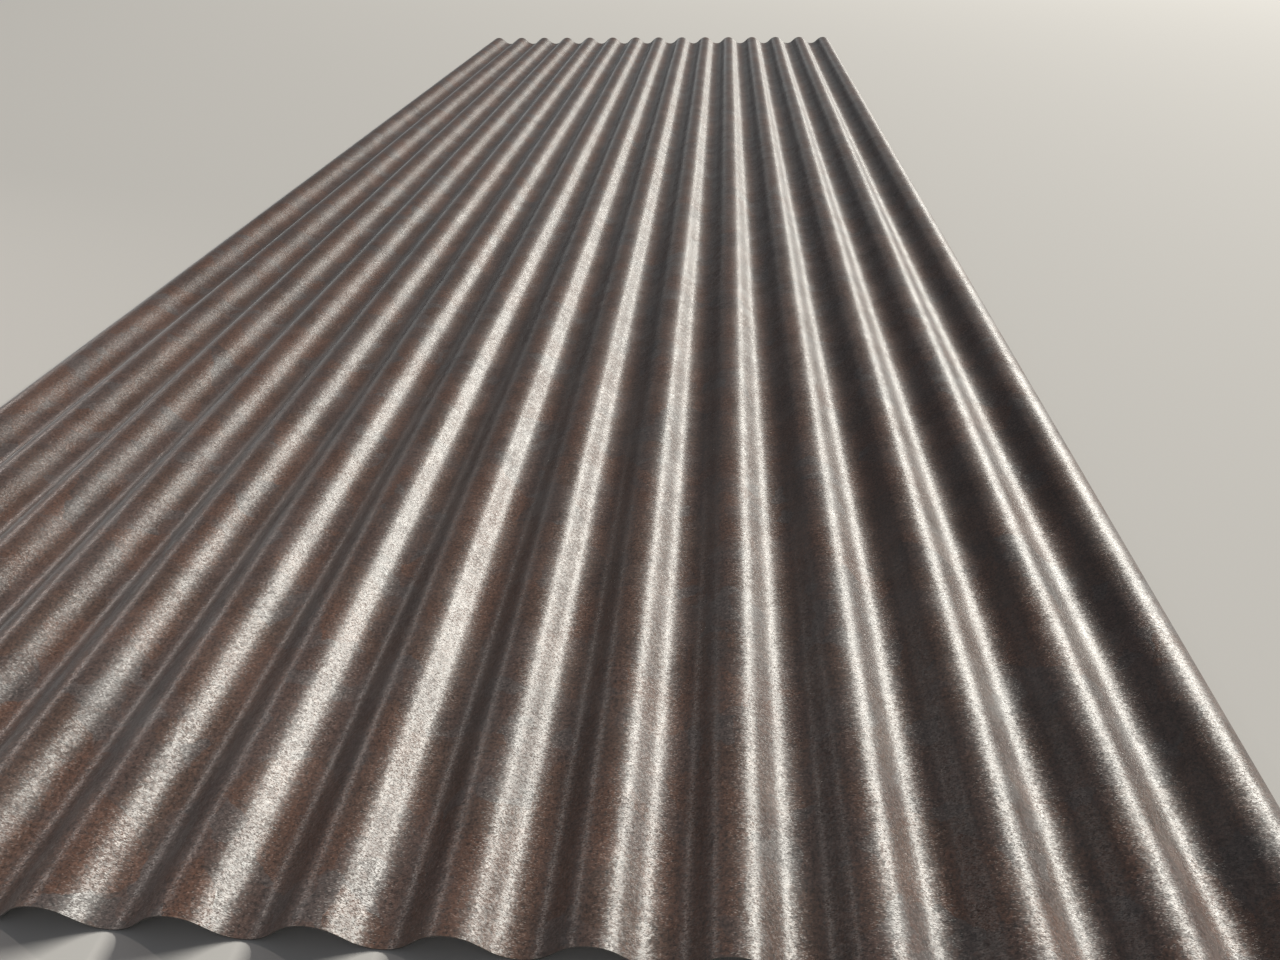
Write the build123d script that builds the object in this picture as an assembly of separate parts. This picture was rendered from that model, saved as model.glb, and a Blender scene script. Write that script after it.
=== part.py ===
from build123d import *
import os
from math import asin, atan2, cos, degrees, sin, tan

# One corrugated steel sheet, cold rolled from a flat strip of coated steel and cut square.
# It lies with its valleys down. Millimetres: X across, Y along the corrugations, Z up.
# The origin is at the middle of the sheet, on the plane that its valleys rest on.

# Driving dimensions
SHEET_LENGTH = 3000.0  # cut length, along the corrugations
THICKNESS = 0.75  # steel with its coating
PITCH = 76.0  # crest to crest
DEPTH = 18.0  # crest to valley, measured on one face of the sheet
FLANK_STRAIGHT = 9.0  # straight stretch of each flank, between the arcs of crest and valley
COVER_PITCHES = 14  # corrugations between the two outer crests: what one sheet covers
EDGE_PAST_CREST = 18.0  # from each outer crest across to the long edge beyond it

# A flank is tangent to the arc of its crest and to the equal arc of its valley.
# With r the radius at mid-thickness, that gives
# (pitch / 2)^2 + (2 r - depth)^2 = (2 r)^2 + straight^2.
HALF_PITCH = PITCH / 2
BEND_RADIUS = (HALF_PITCH**2 + DEPTH**2 - FLANK_STRAIGHT**2) / (4 * DEPTH)
SLOPE = atan2(HALF_PITCH, 2 * BEND_RADIUS - DEPTH) - atan2(FLANK_STRAIGHT, 2 * BEND_RADIUS)
ARC_REACH = BEND_RADIUS * sin(SLOPE)  # half the width of one arc

# Heights of the arcs' centres: the mid-thickness line runs half a thickness above the floor
CREST_CENTRE_Z = THICKNESS / 2 + DEPTH - BEND_RADIUS
VALLEY_CENTRE_Z = THICKNESS / 2 + BEND_RADIUS

OUTER_CREST_X = COVER_PITCHES * PITCH / 2


def crest_arc(x, lift):
    """Arc over a crest, from left to right, `lift` above the mid-thickness line."""
    return CenterArc((x, CREST_CENTRE_Z), BEND_RADIUS + lift, 90 + degrees(SLOPE), -2 * degrees(SLOPE))


def valley_arc(x, lift):
    """Arc through a valley, from left to right, `lift` above the mid-thickness line."""
    return CenterArc((x, VALLEY_CENTRE_Z), BEND_RADIUS - lift, 270 - degrees(SLOPE), 2 * degrees(SLOPE))


def face_line(lift):
    """Arcs and flanks of one face in section, running on to the valley beyond each outer crest."""
    arcs = [valley_arc(-OUTER_CREST_X - HALF_PITCH, lift)]
    for n in range(COVER_PITCHES + 1):
        x = n * PITCH - OUTER_CREST_X
        arcs += [crest_arc(x, lift), valley_arc(x + HALF_PITCH, lift)]
    flanks = [Line(left @ 1, right @ 0) for left, right in zip(arcs, arcs[1:])]
    return arcs, flanks


def long_edge():
    """Height of the mid-thickness line and its downward slope where the strip's edge lies."""
    if EDGE_PAST_CREST <= ARC_REACH:
        slope = asin(EDGE_PAST_CREST / BEND_RADIUS)
        return CREST_CENTRE_Z + BEND_RADIUS * cos(slope), slope
    if EDGE_PAST_CREST <= HALF_PITCH - ARC_REACH:
        drop = (EDGE_PAST_CREST - ARC_REACH) * tan(SLOPE)
        return CREST_CENTRE_Z + BEND_RADIUS * cos(SLOPE) - drop, SLOPE
    slope = asin((HALF_PITCH - EDGE_PAST_CREST) / BEND_RADIUS)
    return VALLEY_CENTRE_Z - BEND_RADIUS * cos(slope), slope


def past_edge():
    """What lies beyond the right edge, cut square to the sheet's own slope there."""
    z, slope = long_edge()
    edge = Location((OUTER_CREST_X + EDGE_PAST_CREST, z), -degrees(slope))
    return edge * Rectangle(PITCH, PITCH, align=(Align.MIN, Align.CENTER))


def section():
    """Cross-section of the sheet, with both long edges cut."""
    top_arcs, top_flanks = face_line(THICKNESS / 2)
    under_arcs, under_flanks = face_line(-THICKNESS / 2)
    ends = [Line(top_arcs[0] @ 0, under_arcs[0] @ 0), Line(top_arcs[-1] @ 1, under_arcs[-1] @ 1)]
    band = make_face([*top_arcs, *top_flanks, *under_arcs, *under_flanks, *ends])
    return band - past_edge() - mirror(past_edge(), about=Plane.YZ)


def corrugated_sheet():
    """The sheet: its cross-section drawn out along the corrugations."""
    near_end = Plane(origin=(0, -SHEET_LENGTH / 2, 0), x_dir=(1, 0, 0), z_dir=(0, -1, 0))
    return extrude(near_end * section(), -SHEET_LENGTH)


os.makedirs("parts", exist_ok=True)
sheet = corrugated_sheet()
sheet.label = "corrugated_sheet"
export_step(sheet, "parts/corrugated_sheet.step")

strip_width = sheet.volume / SHEET_LENGTH / THICKNESS
print("bend radius at mid-thickness", round(BEND_RADIUS, 2), "mm")
print("flank slope", round(degrees(SLOPE), 2), "degrees, strip width", round(strip_width, 1), "mm")
print("size", sheet.bounding_box().size)
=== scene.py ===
"""Looks of one corrugated steel sheet with a mottled, rust-brown coating, lying valleys down.

Metres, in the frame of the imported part: X across the corrugations, Y along them, Z up.
"""

from math import atan2, cos, pi, radians, sin

import bpy
import numpy as np
from bpy.props import FloatProperty, FloatVectorProperty, PointerProperty
from mathutils import Matrix, Vector


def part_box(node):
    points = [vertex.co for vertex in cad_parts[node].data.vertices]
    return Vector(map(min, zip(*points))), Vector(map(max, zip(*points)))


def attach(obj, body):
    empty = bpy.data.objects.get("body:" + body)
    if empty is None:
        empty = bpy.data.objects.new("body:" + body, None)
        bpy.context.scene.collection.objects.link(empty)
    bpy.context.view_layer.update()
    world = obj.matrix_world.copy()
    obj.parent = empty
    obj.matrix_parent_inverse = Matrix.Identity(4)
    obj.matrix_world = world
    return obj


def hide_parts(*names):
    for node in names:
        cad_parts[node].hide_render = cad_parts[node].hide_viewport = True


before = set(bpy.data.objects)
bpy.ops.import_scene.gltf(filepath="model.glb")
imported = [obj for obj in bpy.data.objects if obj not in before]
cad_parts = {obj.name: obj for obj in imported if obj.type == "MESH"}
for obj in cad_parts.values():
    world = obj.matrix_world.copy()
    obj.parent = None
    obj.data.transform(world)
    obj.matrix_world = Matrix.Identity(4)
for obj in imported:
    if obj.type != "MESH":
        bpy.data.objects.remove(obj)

bl_info = {
    "name": "Corrugated sheet",
    "version": (1, 0, 0),
    "blender": (4, 5, 0),
    "location": "3D View > Sidebar > Cladding",
    "description": "Builds a corrugated steel sheet with its coating, and a plain stage for it",
    "category": "Add Mesh",
}

NODE = "corrugated_sheet"
LOW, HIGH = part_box(NODE)
PATTERN_MAP = "rolled_out"
COATED, BACKED, CUT = range(3)  # the sheet's materials, in their order

# Grid of the sheet's two faces
COLUMNS_PER_PITCH = 24
ROWS = 110
SHARPEST_BEND = radians(30)
FAR_AWAY = 1000.0  # middle of the texture space, in metres along the sheet

# Lengths over which the rolled sheet strays, in metres, and the seeds of their starts
WANDER_SPANS, WANDER_SEED = (1.7, 0.83, 0.41), 3
SHALLOW_SPANS, SHALLOW_SEED, SHALLOW_SLANT = (1.3, 0.61, 0.29), 5, 2.5
SPAN_SLANT = 0.3
EDGE_HOLD = 8  # power of the share of the half width: the long edges hardly wander

# Grains of the coating in metres: one length, or one across the corrugations and one along them
TEAR, CLOUD, HAZE = 0.02, 0.08, 0.055
FINE, SPECK = 0.0026, 0.0017
STREAK, BRUSH = (0.004, 0.6), (0.014, 0.004)
FLAKE, HAIR_BREADTH = (0.002, 0.0015), 0.0003
TEAR_REACH = 0.016
GRAIN_TURN = radians(16)
BACKING_CLOUD, ROLL_MARK, NICK = 0.1, (0.006, 0.8), 0.002

# Where each kind of patch begins and where it is full
RUSTY, VIOLET, SLATE = (0.55, 0.95), (0.62, 0.72), (0.86, 0.9)
SPECKLED, HAZY = (0.53, 0.68), (0.44, 0.62)

# How far each grain makes the coating lighter and darker
FINE_SWING, STREAK_SWING, BRUSH_SWING, PATCH_SWING = 1.9, 0.3, 1.2, 0.2
MEAN_SHADE, SPECK_SHADE = 1.1, 0.6

# How far facets lean at most, across and along the corrugations
HAIR_LEAN, FLAKE_LEAN, DENT_LEAN = (0.045, 0.1, 0.0), (0.05, 0.1, 0.0), (0.012, 0.05, 0.0)
LEAST_FROST = 0.08


def length(name, description, default, **more):
    """A property that is a length in metres."""
    return FloatProperty(name=name, description=description, default=default, precision=5,
                         subtype="DISTANCE", unit="LENGTH", **more)


def colour(name, description, default):
    """A property that is a colour, given as it looks on a screen."""
    return FloatVectorProperty(name=name, description=description, default=linear(default),
                               size=3, min=0.0, max=1.0, subtype="COLOR")


def linear(screen_colour):
    """Light in each channel of a colour written as 0 to 255 on a screen."""
    shares = [value / 255 for value in screen_colour]
    return tuple(s / 12.92 if s <= 0.04045 else ((s + 0.055) / 1.055) ** 2.4 for s in shares)


class CladdingSizes(bpy.types.PropertyGroup):
    """Sizes of the sheet and of its small unevenness."""

    length: length("Length", "Along the corrugations", HIGH.y - LOW.y)
    width: length("Width", "Across, over the corners of the cut edges", HIGH.x - LOW.x)
    height: length("Height", "From the floor to the top of the crests", HIGH.z - LOW.z)
    thickness: length("Thickness", "Steel with its coating", 0.00075)
    pitch: length("Pitch", "Crest to crest", 0.076)
    flank: length("Straight flank", "Straight stretch between the arcs of crest and valley", 0.009)
    edge: length("Edge past crest", "From each outer crest across to the long edge", 0.018)
    wander: length("Wander", "How far a crest strays sideways from a straight line", 0.0004)
    shallow: FloatProperty(name="Shallowest", default=0.02, min=0.0, max=0.1, subtype="FACTOR",
                           description="Share of the depth that the rolls leave out at most")


class CladdingCoating(bpy.types.PropertyGroup):
    """Colours and grain of the coating."""

    brown: colour("Brown", "Main colour", (87, 65, 55))
    rust: colour("Rust", "Redder patches", (90, 63, 51))
    violet: colour("Violet grey", "Greyer patches", (83, 66, 61))
    slate: colour("Slate", "Blue-grey patches", (78, 71, 70))
    steel: colour("Steel", "Bare metal of the cut edges", (120, 118, 114))
    backing: colour("Backing", "Plain coat of the underside", (150, 146, 138))
    patch: length("Patch", "Size of a patch of one tone", 0.045)
    hair: length("Hair", "Length of the fine facets across the corrugations", 0.001)


class CladdingStudio(bpy.types.PropertyGroup):
    """Floor, lamps and camera."""

    floor: colour("Floor", "Plain pale floor", (223, 220, 217))
    key: FloatProperty(name="Key", default=4.15, min=0.0,
                       description="Light of the key lamp on a surface that faces it, in W/m2")
    key_azimuth: FloatProperty(name="Key azimuth", default=radians(48.5), subtype="ANGLE", unit="ROTATION",
                               description="From straight ahead towards the right")
    key_elevation: FloatProperty(name="Key elevation", default=radians(29), subtype="ANGLE", unit="ROTATION",
                                 description="Above the horizon")
    side: FloatProperty(name="Side", default=0.45, min=0.0,
                        description="Light of the small lamp on the left, in W/m2")
    sky: FloatProperty(name="Sky", default=0.135, min=0.0,
                       description="Strength of the plain light from all round")


class Value:
    """A number that varies over a surface: a shader socket that Python's operators act on."""

    def __init__(self, web, socket):
        self.web, self.socket = web, socket

    def __add__(self, other):
        return self.web.maths("ADD", self, other)

    def __sub__(self, other):
        return self.web.maths("SUBTRACT", self, other)

    def __rsub__(self, other):
        return self.web.maths("SUBTRACT", other, self)

    def __mul__(self, other):
        return self.web.maths("MULTIPLY", self, other)

    __radd__, __rmul__ = __add__, __mul__

    def swing(self, reach):
        """The value, taken to lie from 0 to 1, as a change to either side of none."""
        return (self - 0.5) * reach


class Web:
    """The nodes of one material, with one shader at the end."""

    def __init__(self, name):
        self.material = bpy.data.materials.new(name)
        self.material.use_nodes = True
        self.tree = self.material.node_tree
        self.tree.nodes.clear()

    def node(self, kind, settings=None, sockets=None):
        """One node: its settings are set first, then the values or links of its sockets."""
        made = self.tree.nodes.new(kind)
        for name, setting in (settings or {}).items():
            setattr(made, name, setting)
        for name, given in (sockets or {}).items():
            given = getattr(given, "socket", given)
            if isinstance(given, bpy.types.NodeSocket):
                self.tree.links.new(given, made.inputs[name])
            else:
                made.inputs[name].default_value = given
        return made

    def maths(self, operation, *terms):
        """A Math node over numbers or values."""
        made = self.node("ShaderNodeMath", {"operation": operation}, dict(enumerate(terms)))
        return Value(self, made.outputs[0])

    def vectors(self, operation, *terms):
        """A Vector Math node over vectors or their sockets."""
        made = self.node("ShaderNodeVectorMath", {"operation": operation}, dict(enumerate(terms)))
        return made.outputs[0]

    def place(self):
        """Place on the strip that the sheet is rolled from, in metres."""
        return self.node("ShaderNodeUVMap", {"uv_map": PATTERN_MAP}).outputs[0]

    def scaled(self, place, size):
        """The place counted in sizes: one length, or one across the corrugations and one along them."""
        across, along = size if isinstance(size, tuple) else (size, size)
        return self.vectors("MULTIPLY", place, (1 / across, 1 / along, 1.0))

    def noise(self, place, size, detail=2.0, roughness=0.5):
        """Noise whose grain has this size."""
        return self.node("ShaderNodeTexNoise", {"noise_dimensions": "2D"}, {
            "Vector": self.scaled(place, size), "Scale": 1.0, "Detail": detail, "Roughness": roughness})

    def grain(self, place, size, detail=2.0, roughness=0.5):
        """The same noise as one value, from 0 to 1."""
        return Value(self, self.noise(place, size, detail, roughness).outputs[0])

    def cells(self, place, size):
        """Random colour per cell of a Voronoi pattern whose cells have this size."""
        return self.node("ShaderNodeTexVoronoi", {"voronoi_dimensions": "2D"},
                         {"Vector": self.scaled(place, size), "Scale": 1.0}).outputs["Color"]

    def either_way(self, colour):
        """Red and green of a random colour, from 0 to 1, as a lean from -1 to 1 across and along."""
        return self.vectors("MULTIPLY_ADD", colour, (2.0, 2.0, 0.0), (-1.0, -1.0, 0.0))

    def parts(self, colour):
        """The three channels of a colour as values."""
        return [Value(self, part) for part in self.node("ShaderNodeSeparateColor", {}, {0: colour}).outputs]

    def step(self, value, low, high):
        """0 where the value is below low, 1 above high, smooth between."""
        made = self.node("ShaderNodeMapRange", {"interpolation_type": "SMOOTHSTEP"},
                         {0: value, 1: low, 2: high})
        return Value(self, made.outputs[0])

    def mix(self, share, first, second, blend="MIX"):
        """A colour between two colours."""
        made = self.node("ShaderNodeMix", {"data_type": "RGBA", "blend_type": blend},
                         {0: share, 6: opaque(first), 7: opaque(second)})
        return made.outputs[2]

    def shaded(self, tint, shade):
        """A colour made darker or lighter by a value."""
        grey = self.node("ShaderNodeCombineColor", {}, {0: shade, 1: shade, 2: shade}).outputs[0]
        return self.mix(1.0, tint, grey, "MULTIPLY")

    def finish(self, sockets):
        """The one shader, and the finished material."""
        shader = self.node("ShaderNodeBsdfPrincipled", {}, sockets)
        self.node("ShaderNodeOutputMaterial", {}, {0: shader.outputs[0]})
        return self.material


def opaque(given):
    """A plain colour with its alpha, or the socket as it is."""
    return given if isinstance(given, bpy.types.NodeSocket) else (*given, 1.0)


def rolled_coating(look):
    """Coloured coat of the top face: torn patches of four close tones, with fine specks and brushed streaks.

    Its shine is wide along the corrugations and narrow across them. Facets of a few tenths of a millimetre to
    two millimetres and dents of a centimetre each lean their own way. The fifth power leaves most of the fine
    ones nearly level, and the few that lean far across are the frost that frays the edges of a shine. Some
    patches have more of it than others. A wide clear coat, stronger in hazy patches, and a little sheen give
    the haze at a low angle.
    """
    web = Web("rust_brown_coating")
    place = web.place()

    bent = web.vectors("SUBTRACT", web.noise(place, TEAR, 3.0).outputs[1], (0.5, 0.5, 0.5))
    torn = web.vectors("ADD", place, web.vectors("MULTIPLY", bent, (TEAR_REACH, TEAR_REACH, 0.0)))
    kind, tone, turn = web.parts(web.cells(torn, look.patch))
    small_kind, small_tone, _ = web.parts(web.cells(torn, look.patch / 3))

    cloud = web.grain(place, CLOUD, 3.0)
    fine = web.grain(place, FINE, 3.0, 0.6)
    speck = web.grain(place, SPECK, 2.0, 0.6)
    streak = web.grain(place, STREAK, 2.0)
    brush = web.grain(place, BRUSH, 4.0, 0.7)
    haze = web.step(web.grain(torn, HAZE, 2.0), *HAZY)

    rusty = web.step(tone * 0.5 + cloud, *RUSTY)
    violet = web.step(kind * 0.6 + cloud * 0.4 + small_kind * 0.25, *VIOLET)
    slate = web.step(kind * 0.5 + small_tone * 0.6, *SLATE)
    tint = web.mix(rusty, look.brown, look.rust)
    tint = web.mix(violet * 0.7, tint, look.violet)
    tint = web.mix(slate * 0.6, tint, look.slate)
    shade = MEAN_SHADE + fine.swing(FINE_SWING) + streak.swing(STREAK_SWING) + brush.swing(BRUSH_SWING)
    shade = shade + small_tone.swing(PATCH_SWING) + tone.swing(PATCH_SWING)
    shade = shade * (1 - web.step(speck, *SPECKLED) * SPECK_SHADE)

    turned = web.node("ShaderNodeVectorRotate", {"rotation_type": "Z_AXIS"},
                      {"Vector": place, "Angle": turn.swing(GRAIN_TURN)}).outputs[0]
    hair = web.cells(turned, (look.hair, HAIR_BREADTH))
    hairs = web.either_way(hair)
    flakes = web.either_way(web.cells(turned, FLAKE))
    dents = web.either_way(web.cells(torn, look.patch / 4))
    squared = web.vectors("MULTIPLY", hairs, hairs)
    fifth = web.vectors("MULTIPLY", hairs, web.vectors("MULTIPLY", squared, squared))
    frost = LEAST_FROST + small_tone * 0.3 + tone * 0.25
    frosted = web.node("ShaderNodeCombineXYZ", {}, {0: frost}).outputs[0]
    leaning = web.vectors("MULTIPLY_ADD", fifth, frosted, web.vectors("MULTIPLY", hairs, HAIR_LEAN))
    leaning = web.vectors("MULTIPLY_ADD", flakes, FLAKE_LEAN, leaning)
    leaning = web.vectors("MULTIPLY_ADD", dents, DENT_LEAN, leaning)
    coded = web.vectors("MULTIPLY_ADD", leaning, (0.5, 0.5, 0.0), (0.5, 0.5, 1.0))
    normal = web.node("ShaderNodeNormalMap", {"uv_map": PATTERN_MAP}, {"Color": coded}).outputs[0]
    astray = web.maths("ABSOLUTE", web.parts(leaning)[0])
    hair_gloss = web.parts(hair)[2]
    return web.finish({
        "Base Color": web.shaded(tint, shade),
        "Roughness": 0.35 + small_kind * 0.035 + astray * 0.7,
        "Normal": normal, "IOR": 1.75,
        "Anisotropic": 0.62, "Anisotropic Rotation": 0.25,
        "Coat Weight": 0.26 + haze * 0.34 + hair_gloss * 0.4 + slate * 0.1,
        "Coat Roughness": 0.58, "Coat IOR": 1.55,
        "Sheen Weight": 0.22, "Sheen Roughness": 0.3, "Sheen Tint": (0.86, 0.93, 1.0, 1.0)})


def backing_coat(look):
    """Plain pale coat of the underside, with faint lengthwise roll marks."""
    web = Web("backing_coat")
    place = web.place()
    cloud = web.grain(place, BACKING_CLOUD, 3.0)
    mark = web.grain(place, ROLL_MARK, 2.0)
    return web.finish({"Base Color": web.shaded(look.backing, 0.86 + cloud * 0.16 + mark * 0.12),
                       "Roughness": 0.42 + cloud * 0.1})


def cut_steel(look):
    """Sheared edge: bare steel between two coats."""
    web = Web("cut_steel")
    place = web.node("ShaderNodeTexCoord").outputs["Object"]
    nick = web.grain(place, NICK, 3.0)
    return web.finish({"Base Color": web.shaded(look.steel, 0.6 + nick * 0.6),
                       "Metallic": 0.7, "Roughness": 0.45})


def plain_floor(studio):
    """Matt pale floor."""
    web = Web("floor")
    return web.finish({"Base Color": (*studio.floor, 1.0), "Roughness": 0.9})


def bends(sizes):
    """Depth of the wave, radius of its arcs and slope of its flanks.

    Crest and valley are arcs of one radius, joined by a straight flank tangent to both. With r the radius,
    that gives (pitch / 2)^2 + (2 r - depth)^2 = (2 r)^2 + flank^2.
    """
    half, depth = sizes.pitch / 2, sizes.height - sizes.thickness
    radius = (half**2 + depth**2 - sizes.flank**2) / (4 * depth)
    slope = atan2(half, 2 * radius - depth) - atan2(sizes.flank, 2 * radius)
    return depth, radius, slope


def wave(sizes, walked):
    """Place and lean of the mid-thickness line after so many metres along it from the middle crest.

    Over an arc the lean grows with the length walked, and across and down are r sin(lean) and
    r (1 - cos(lean)). The valley is the crest turned half round.
    """
    half = sizes.pitch / 2
    depth, radius, slope = bends(sizes)
    arc = radius * slope
    half_walk = 2 * arc + sizes.flank

    turns = np.round(walked / (2 * half_walk))
    rest = walked - turns * 2 * half_walk
    side, rest = np.sign(rest), np.abs(rest)
    on_crest, on_valley = rest < arc, rest > arc + sizes.flank
    lean = np.where(on_crest, rest, np.where(on_valley, half_walk - rest, arc)) / radius
    on_flank = rest - arc
    across_arc, down_arc = radius * np.sin(lean), radius * (1 - np.cos(lean))
    across_flank = radius * sin(slope) + on_flank * cos(slope)
    down_flank = radius * (1 - cos(slope)) + on_flank * sin(slope)
    across = np.where(on_crest, across_arc, np.where(on_valley, half - across_arc, across_flank))
    down = np.where(on_crest, down_arc, np.where(on_valley, depth - down_arc, down_flank))
    x = turns * sizes.pitch + side * across
    z = sizes.thickness / 2 + depth - down
    return x, z, side * lean


def half_strip(sizes):
    """Length walked along the mid-thickness line from the middle crest to a long edge."""
    _, radius, slope = bends(sizes)
    arc = radius * slope
    pitches = round((sizes.width / 2 - sizes.edge) / sizes.pitch)
    past = sizes.edge - radius * sin(slope)
    return pitches * 2 * (2 * arc + sizes.flank) + arc + past / cos(slope)


def ripple(across, along, spans, seed):
    """Smooth unevenness from -1 to 1: the mean of sines, each with a span, a slant and a start of its own."""
    random = np.random.default_rng(seed)
    total = np.zeros(np.broadcast(across, along).shape)
    for span in spans:
        slant, start = random.uniform(-SPAN_SLANT, SPAN_SLANT), random.uniform(0, 2 * pi)
        total += np.sin(2 * pi * (along + slant * across) / span + start)
    return total / len(spans)


def sheet_grid(sizes):
    """Corners of the sheet, by face (top, under), row and column, and the place of each on the strip.

    A face lies half a thickness from the mid-thickness line, square to its lean. Ripples move a crest
    sideways and take a little off the height.
    """
    reach = half_strip(sizes)
    columns = round(COLUMNS_PER_PITCH * sizes.width / sizes.pitch) + 1
    walked = np.linspace(-reach, reach, columns)[None, :]
    along = np.linspace(-sizes.length / 2, sizes.length / 2, ROWS)[:, None]
    x, z, lean = wave(sizes, walked)
    half_width = sizes.width / 2
    inner = 1 - (x / half_width) ** EDGE_HOLD
    stray = sizes.wander * inner * ripple(x, along, WANDER_SPANS, WANDER_SEED)
    shallow = 0.5 + 0.5 * ripple(SHALLOW_SLANT * x, along, SHALLOW_SPANS, SHALLOW_SEED)
    flat = 1 - sizes.shallow * shallow
    faces = []
    for lift in (sizes.thickness / 2, -sizes.thickness / 2):
        face_x = np.clip(x + lift * np.sin(lean) + stray, -half_width, half_width)
        face_z = (z + lift * np.cos(lean)) * flat
        face_y = np.broadcast_to(along, face_x.shape)
        faces.append(np.stack([face_x, face_y, face_z], -1))
    strip = np.stack(np.broadcast_arrays(walked, along), -1)
    return np.stack(faces), strip


def quads(grid):
    """Quads between neighbouring corners of a grid of corner numbers."""
    return np.stack([grid[:-1, :-1], grid[:-1, 1:], grid[1:, 1:], grid[1:, :-1]], -1).reshape(-1, 4)


def sheet_mesh(sizes, materials):
    """Closed mesh of the sheet: two faces, two cut ends and two long edges."""
    corners, strip = sheet_grid(sizes)
    rows, columns = strip.shape[:2]
    number = np.arange(2 * rows * columns).reshape(2, rows, columns)
    top, under = number
    parts = [
        (quads(top), COATED),
        (quads(under)[:, ::-1], BACKED),
        (quads(np.stack([under[0], top[0]])), CUT),
        (quads(np.stack([top[-1], under[-1]])), CUT),
        (quads(np.stack([top[:, 0], under[:, 0]])), CUT),
        (quads(np.stack([under[:, -1], top[:, -1]])), CUT),
    ]
    faces = np.concatenate([part for part, _ in parts])
    finish = np.concatenate([np.full(len(part), index) for part, index in parts])

    mesh = bpy.data.meshes.new("sheet")
    mesh.from_pydata(corners.reshape(-1, 3).tolist(), [], faces.tolist())
    for material in materials:
        mesh.materials.append(material)
    mesh.polygons.foreach_set("material_index", finish.astype(np.int32))
    mesh.polygons.foreach_set("use_smooth", np.ones(len(faces), bool))
    rolled_out = np.tile(strip.reshape(-1, 2), (2, 1))[faces.ravel()]
    mesh.uv_layers.new(name=PATTERN_MAP).data.foreach_set("uv", rolled_out.ravel().astype(np.float32))
    mesh.set_sharp_from_angle(angle=SHARPEST_BEND)
    # Blender turns the anisotropic shine about the Z axis through the middle of the texture space. From a
    # middle this far away it takes one direction all over the sheet.
    mesh.use_auto_texspace = False
    mesh.texspace_location, mesh.texspace_size = (0.0, FAR_AWAY, 0.0), (1.0, 1.0, 1.0)
    mesh.validate()
    mesh.update()
    return mesh


class CLADDING_OT_sheet(bpy.types.Operator):
    """Builds the sheet with its coating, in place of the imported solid"""

    bl_idname = "cladding.sheet"
    bl_label = "Sheet"

    def execute(self, context):
        look = context.scene.cladding_coating
        materials = [rolled_coating(look), backing_coat(look), cut_steel(look)]
        mesh = sheet_mesh(context.scene.cladding_sizes, materials)
        sheet = bpy.data.objects.new("sheet", mesh)
        context.scene.collection.objects.link(sheet)
        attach(sheet, "root")
        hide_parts(NODE)
        return {"FINISHED"}


# Stage: lengths in metres, colours as shares of light
FLOOR_HALF, FLOOR_GAP = 9.0, 0.0001
KEY_DISTANCE, KEY_LONG, KEY_SHORT = 25.0, 16.0, 1.3
KEY_COLOUR, SIDE_COLOUR = (1.0, 0.975, 0.895), (1.0, 0.89, 0.82)
SKY_COLOUR = (0.92, 0.95, 1.0, 1.0)
SIDE_PLACE, SIDE_AIM = Vector((-4.9, 2.4, 3.3)), Vector((-1.0, -1.4, 0.0))
SIDE_BEAM, SIDE_RADIUS = 1.25, 0.05

# The camera that was fitted to the photograph, with its sensor and lens in millimetres
CAMERA_PLACE = Vector((0.2043, -1.7431, 0.4771))
CAMERA_YAW, CAMERA_PITCH, CAMERA_ROLL = radians(5.134), radians(34.276), radians(1.002)
SENSOR, LENS, NEAREST = 36.0, 25.23, 0.01


def floor(studio):
    """A plain square floor, a hair below the underside of the valleys."""
    mesh = bpy.data.meshes.new("floor")
    square = [(-FLOOR_HALF, -FLOOR_HALF, 0), (FLOOR_HALF, -FLOOR_HALF, 0),
              (FLOOR_HALF, FLOOR_HALF, 0), (-FLOOR_HALF, FLOOR_HALF, 0)]
    mesh.from_pydata(square, [], [(0, 1, 2, 3)])
    mesh.materials.append(plain_floor(studio))
    made = bpy.data.objects.new("floor", mesh)
    made.location.z = LOW.z - FLOOR_GAP
    return made


def key_lamp(studio):
    """A long soft lamp ahead on the right, with the energy that gives the wanted light at that distance."""
    azimuth, elevation = studio.key_azimuth, studio.key_elevation
    towards = Vector((sin(azimuth) * cos(elevation), cos(azimuth) * cos(elevation), sin(elevation)))
    lamp = bpy.data.lights.new("key", "AREA")
    lamp.shape = "RECTANGLE"
    lamp.size, lamp.size_y = KEY_LONG, KEY_SHORT
    lamp.energy = studio.key * pi * KEY_DISTANCE**2
    lamp.color = KEY_COLOUR
    made = bpy.data.objects.new("key", lamp)
    made.location = towards * KEY_DISTANCE
    made.rotation_euler = towards.to_track_quat("Z", "Y").to_euler()
    return made


def side_lamp(studio):
    """A small weak lamp on the left, whose soft round beam falls on the near left part of the sheet."""
    beam = SIDE_PLACE - SIDE_AIM
    lamp = bpy.data.lights.new("side", "SPOT")
    lamp.spot_size, lamp.spot_blend = 2 * atan2(SIDE_BEAM, beam.length), 1.0
    lamp.shadow_soft_size = SIDE_RADIUS
    lamp.energy = studio.side * 4 * pi * beam.length**2
    lamp.color = SIDE_COLOUR
    made = bpy.data.objects.new("side", lamp)
    made.location = SIDE_PLACE
    made.rotation_euler = beam.to_track_quat("Z", "Y").to_euler()
    return made


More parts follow.
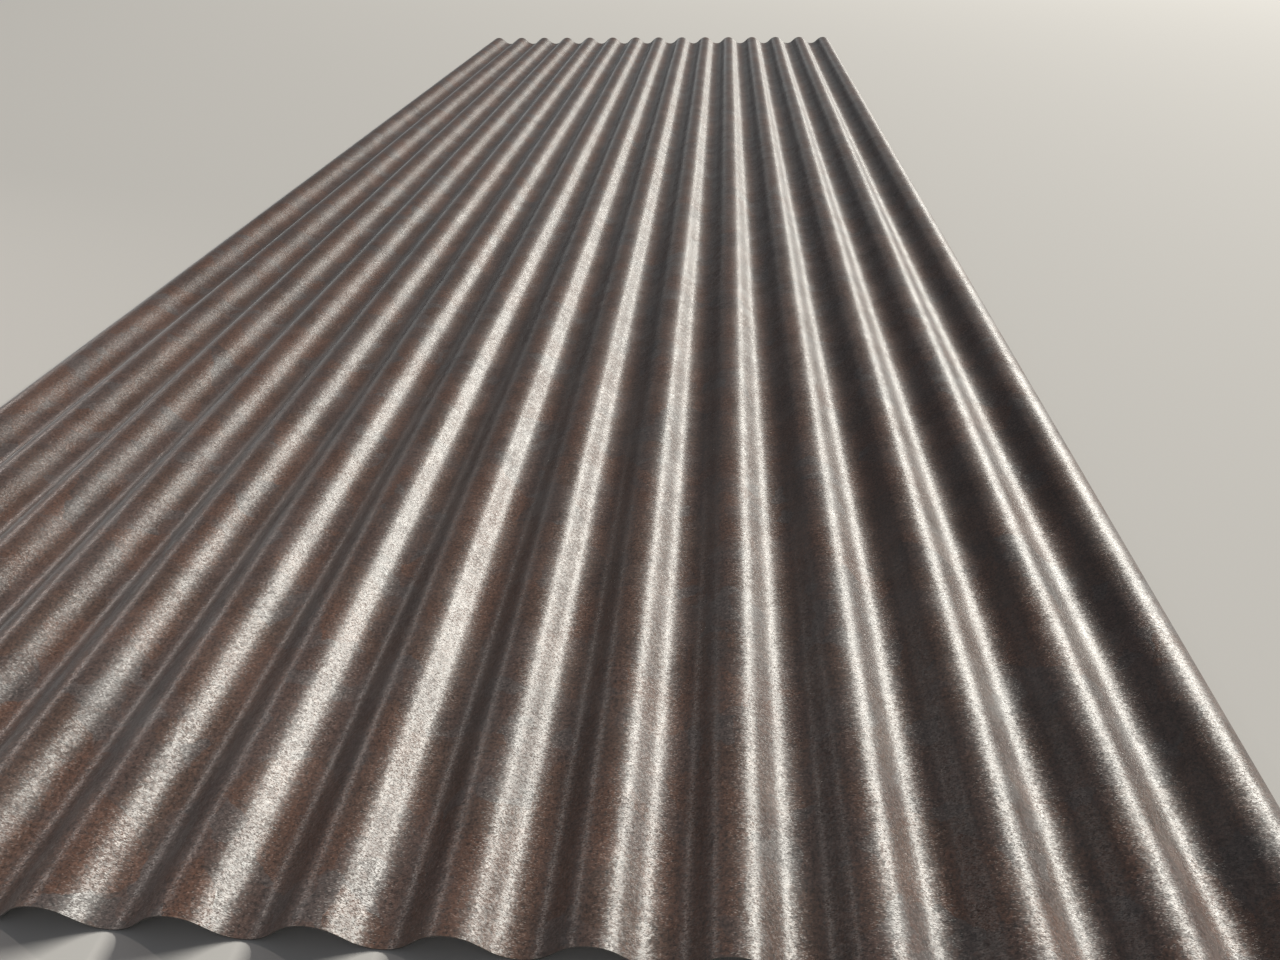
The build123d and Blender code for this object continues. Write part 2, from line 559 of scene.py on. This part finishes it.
def camera():
    """The photograph's camera."""
    lens = bpy.data.cameras.new("camera")
    lens.sensor_width, lens.lens = SENSOR, LENS
    lens.clip_start = NEAREST
    made = bpy.data.objects.new("camera", lens)
    turn = (Matrix.Rotation(CAMERA_YAW, 3, "Z") @ Matrix.Rotation(pi / 2 - CAMERA_PITCH, 3, "X")
            @ Matrix.Rotation(-CAMERA_ROLL, 3, "Z"))
    made.matrix_world = Matrix.LocRotScale(CAMERA_PLACE, turn, None)
    return made


def sky(studio):
    """Plain light from all round."""
    world = bpy.data.worlds.new("sky")
    world.use_nodes = True
    back = world.node_tree.nodes["Background"]
    back.inputs["Color"].default_value = SKY_COLOUR
    back.inputs["Strength"].default_value = studio.sky
    return world


class CLADDING_OT_stage(bpy.types.Operator):
    """Lays the plain floor and sets the lamps and the camera"""

    bl_idname = "cladding.stage"
    bl_label = "Stage"

    def execute(self, context):
        studio = context.scene.cladding_studio
        for made in (floor(studio), key_lamp(studio), side_lamp(studio), camera()):
            context.scene.collection.objects.link(made)
        context.scene.camera = bpy.data.objects["camera"]
        context.scene.world = sky(studio)
        context.scene.view_settings.view_transform = "Standard"
        return {"FINISHED"}


class CLADDING_PT_panel(bpy.types.Panel):
    """Lists the sizes, the colours and the steps."""

    bl_idname = "CLADDING_PT_panel"
    bl_label = "Cladding"
    bl_space_type = "VIEW_3D"
    bl_region_type = "UI"
    bl_category = "Cladding"

    def draw(self, context):
        for group in (context.scene.cladding_sizes, context.scene.cladding_coating,
                      context.scene.cladding_studio):
            box = self.layout.box()
            for name in group.__annotations__:
                box.prop(group, name)
        for step in STEPS:
            self.layout.operator(step.bl_idname)


STEPS = (CLADDING_OT_sheet, CLADDING_OT_stage)
GROUPS = {"cladding_sizes": CladdingSizes, "cladding_coating": CladdingCoating,
          "cladding_studio": CladdingStudio}


def register():
    for made in (*GROUPS.values(), *STEPS, CLADDING_PT_panel):
        bpy.utils.register_class(made)
    for name, group in GROUPS.items():
        setattr(bpy.types.Scene, name, PointerProperty(type=group))


def unregister():
    for name in GROUPS:
        delattr(bpy.types.Scene, name)
    for made in reversed((*GROUPS.values(), *STEPS, CLADDING_PT_panel)):
        bpy.utils.unregister_class(made)


def main():
    """Runs every step."""
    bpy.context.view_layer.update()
    register()
    bpy.ops.cladding.sheet()
    bpy.ops.cladding.stage()


if __name__ == "__main__":
    main()
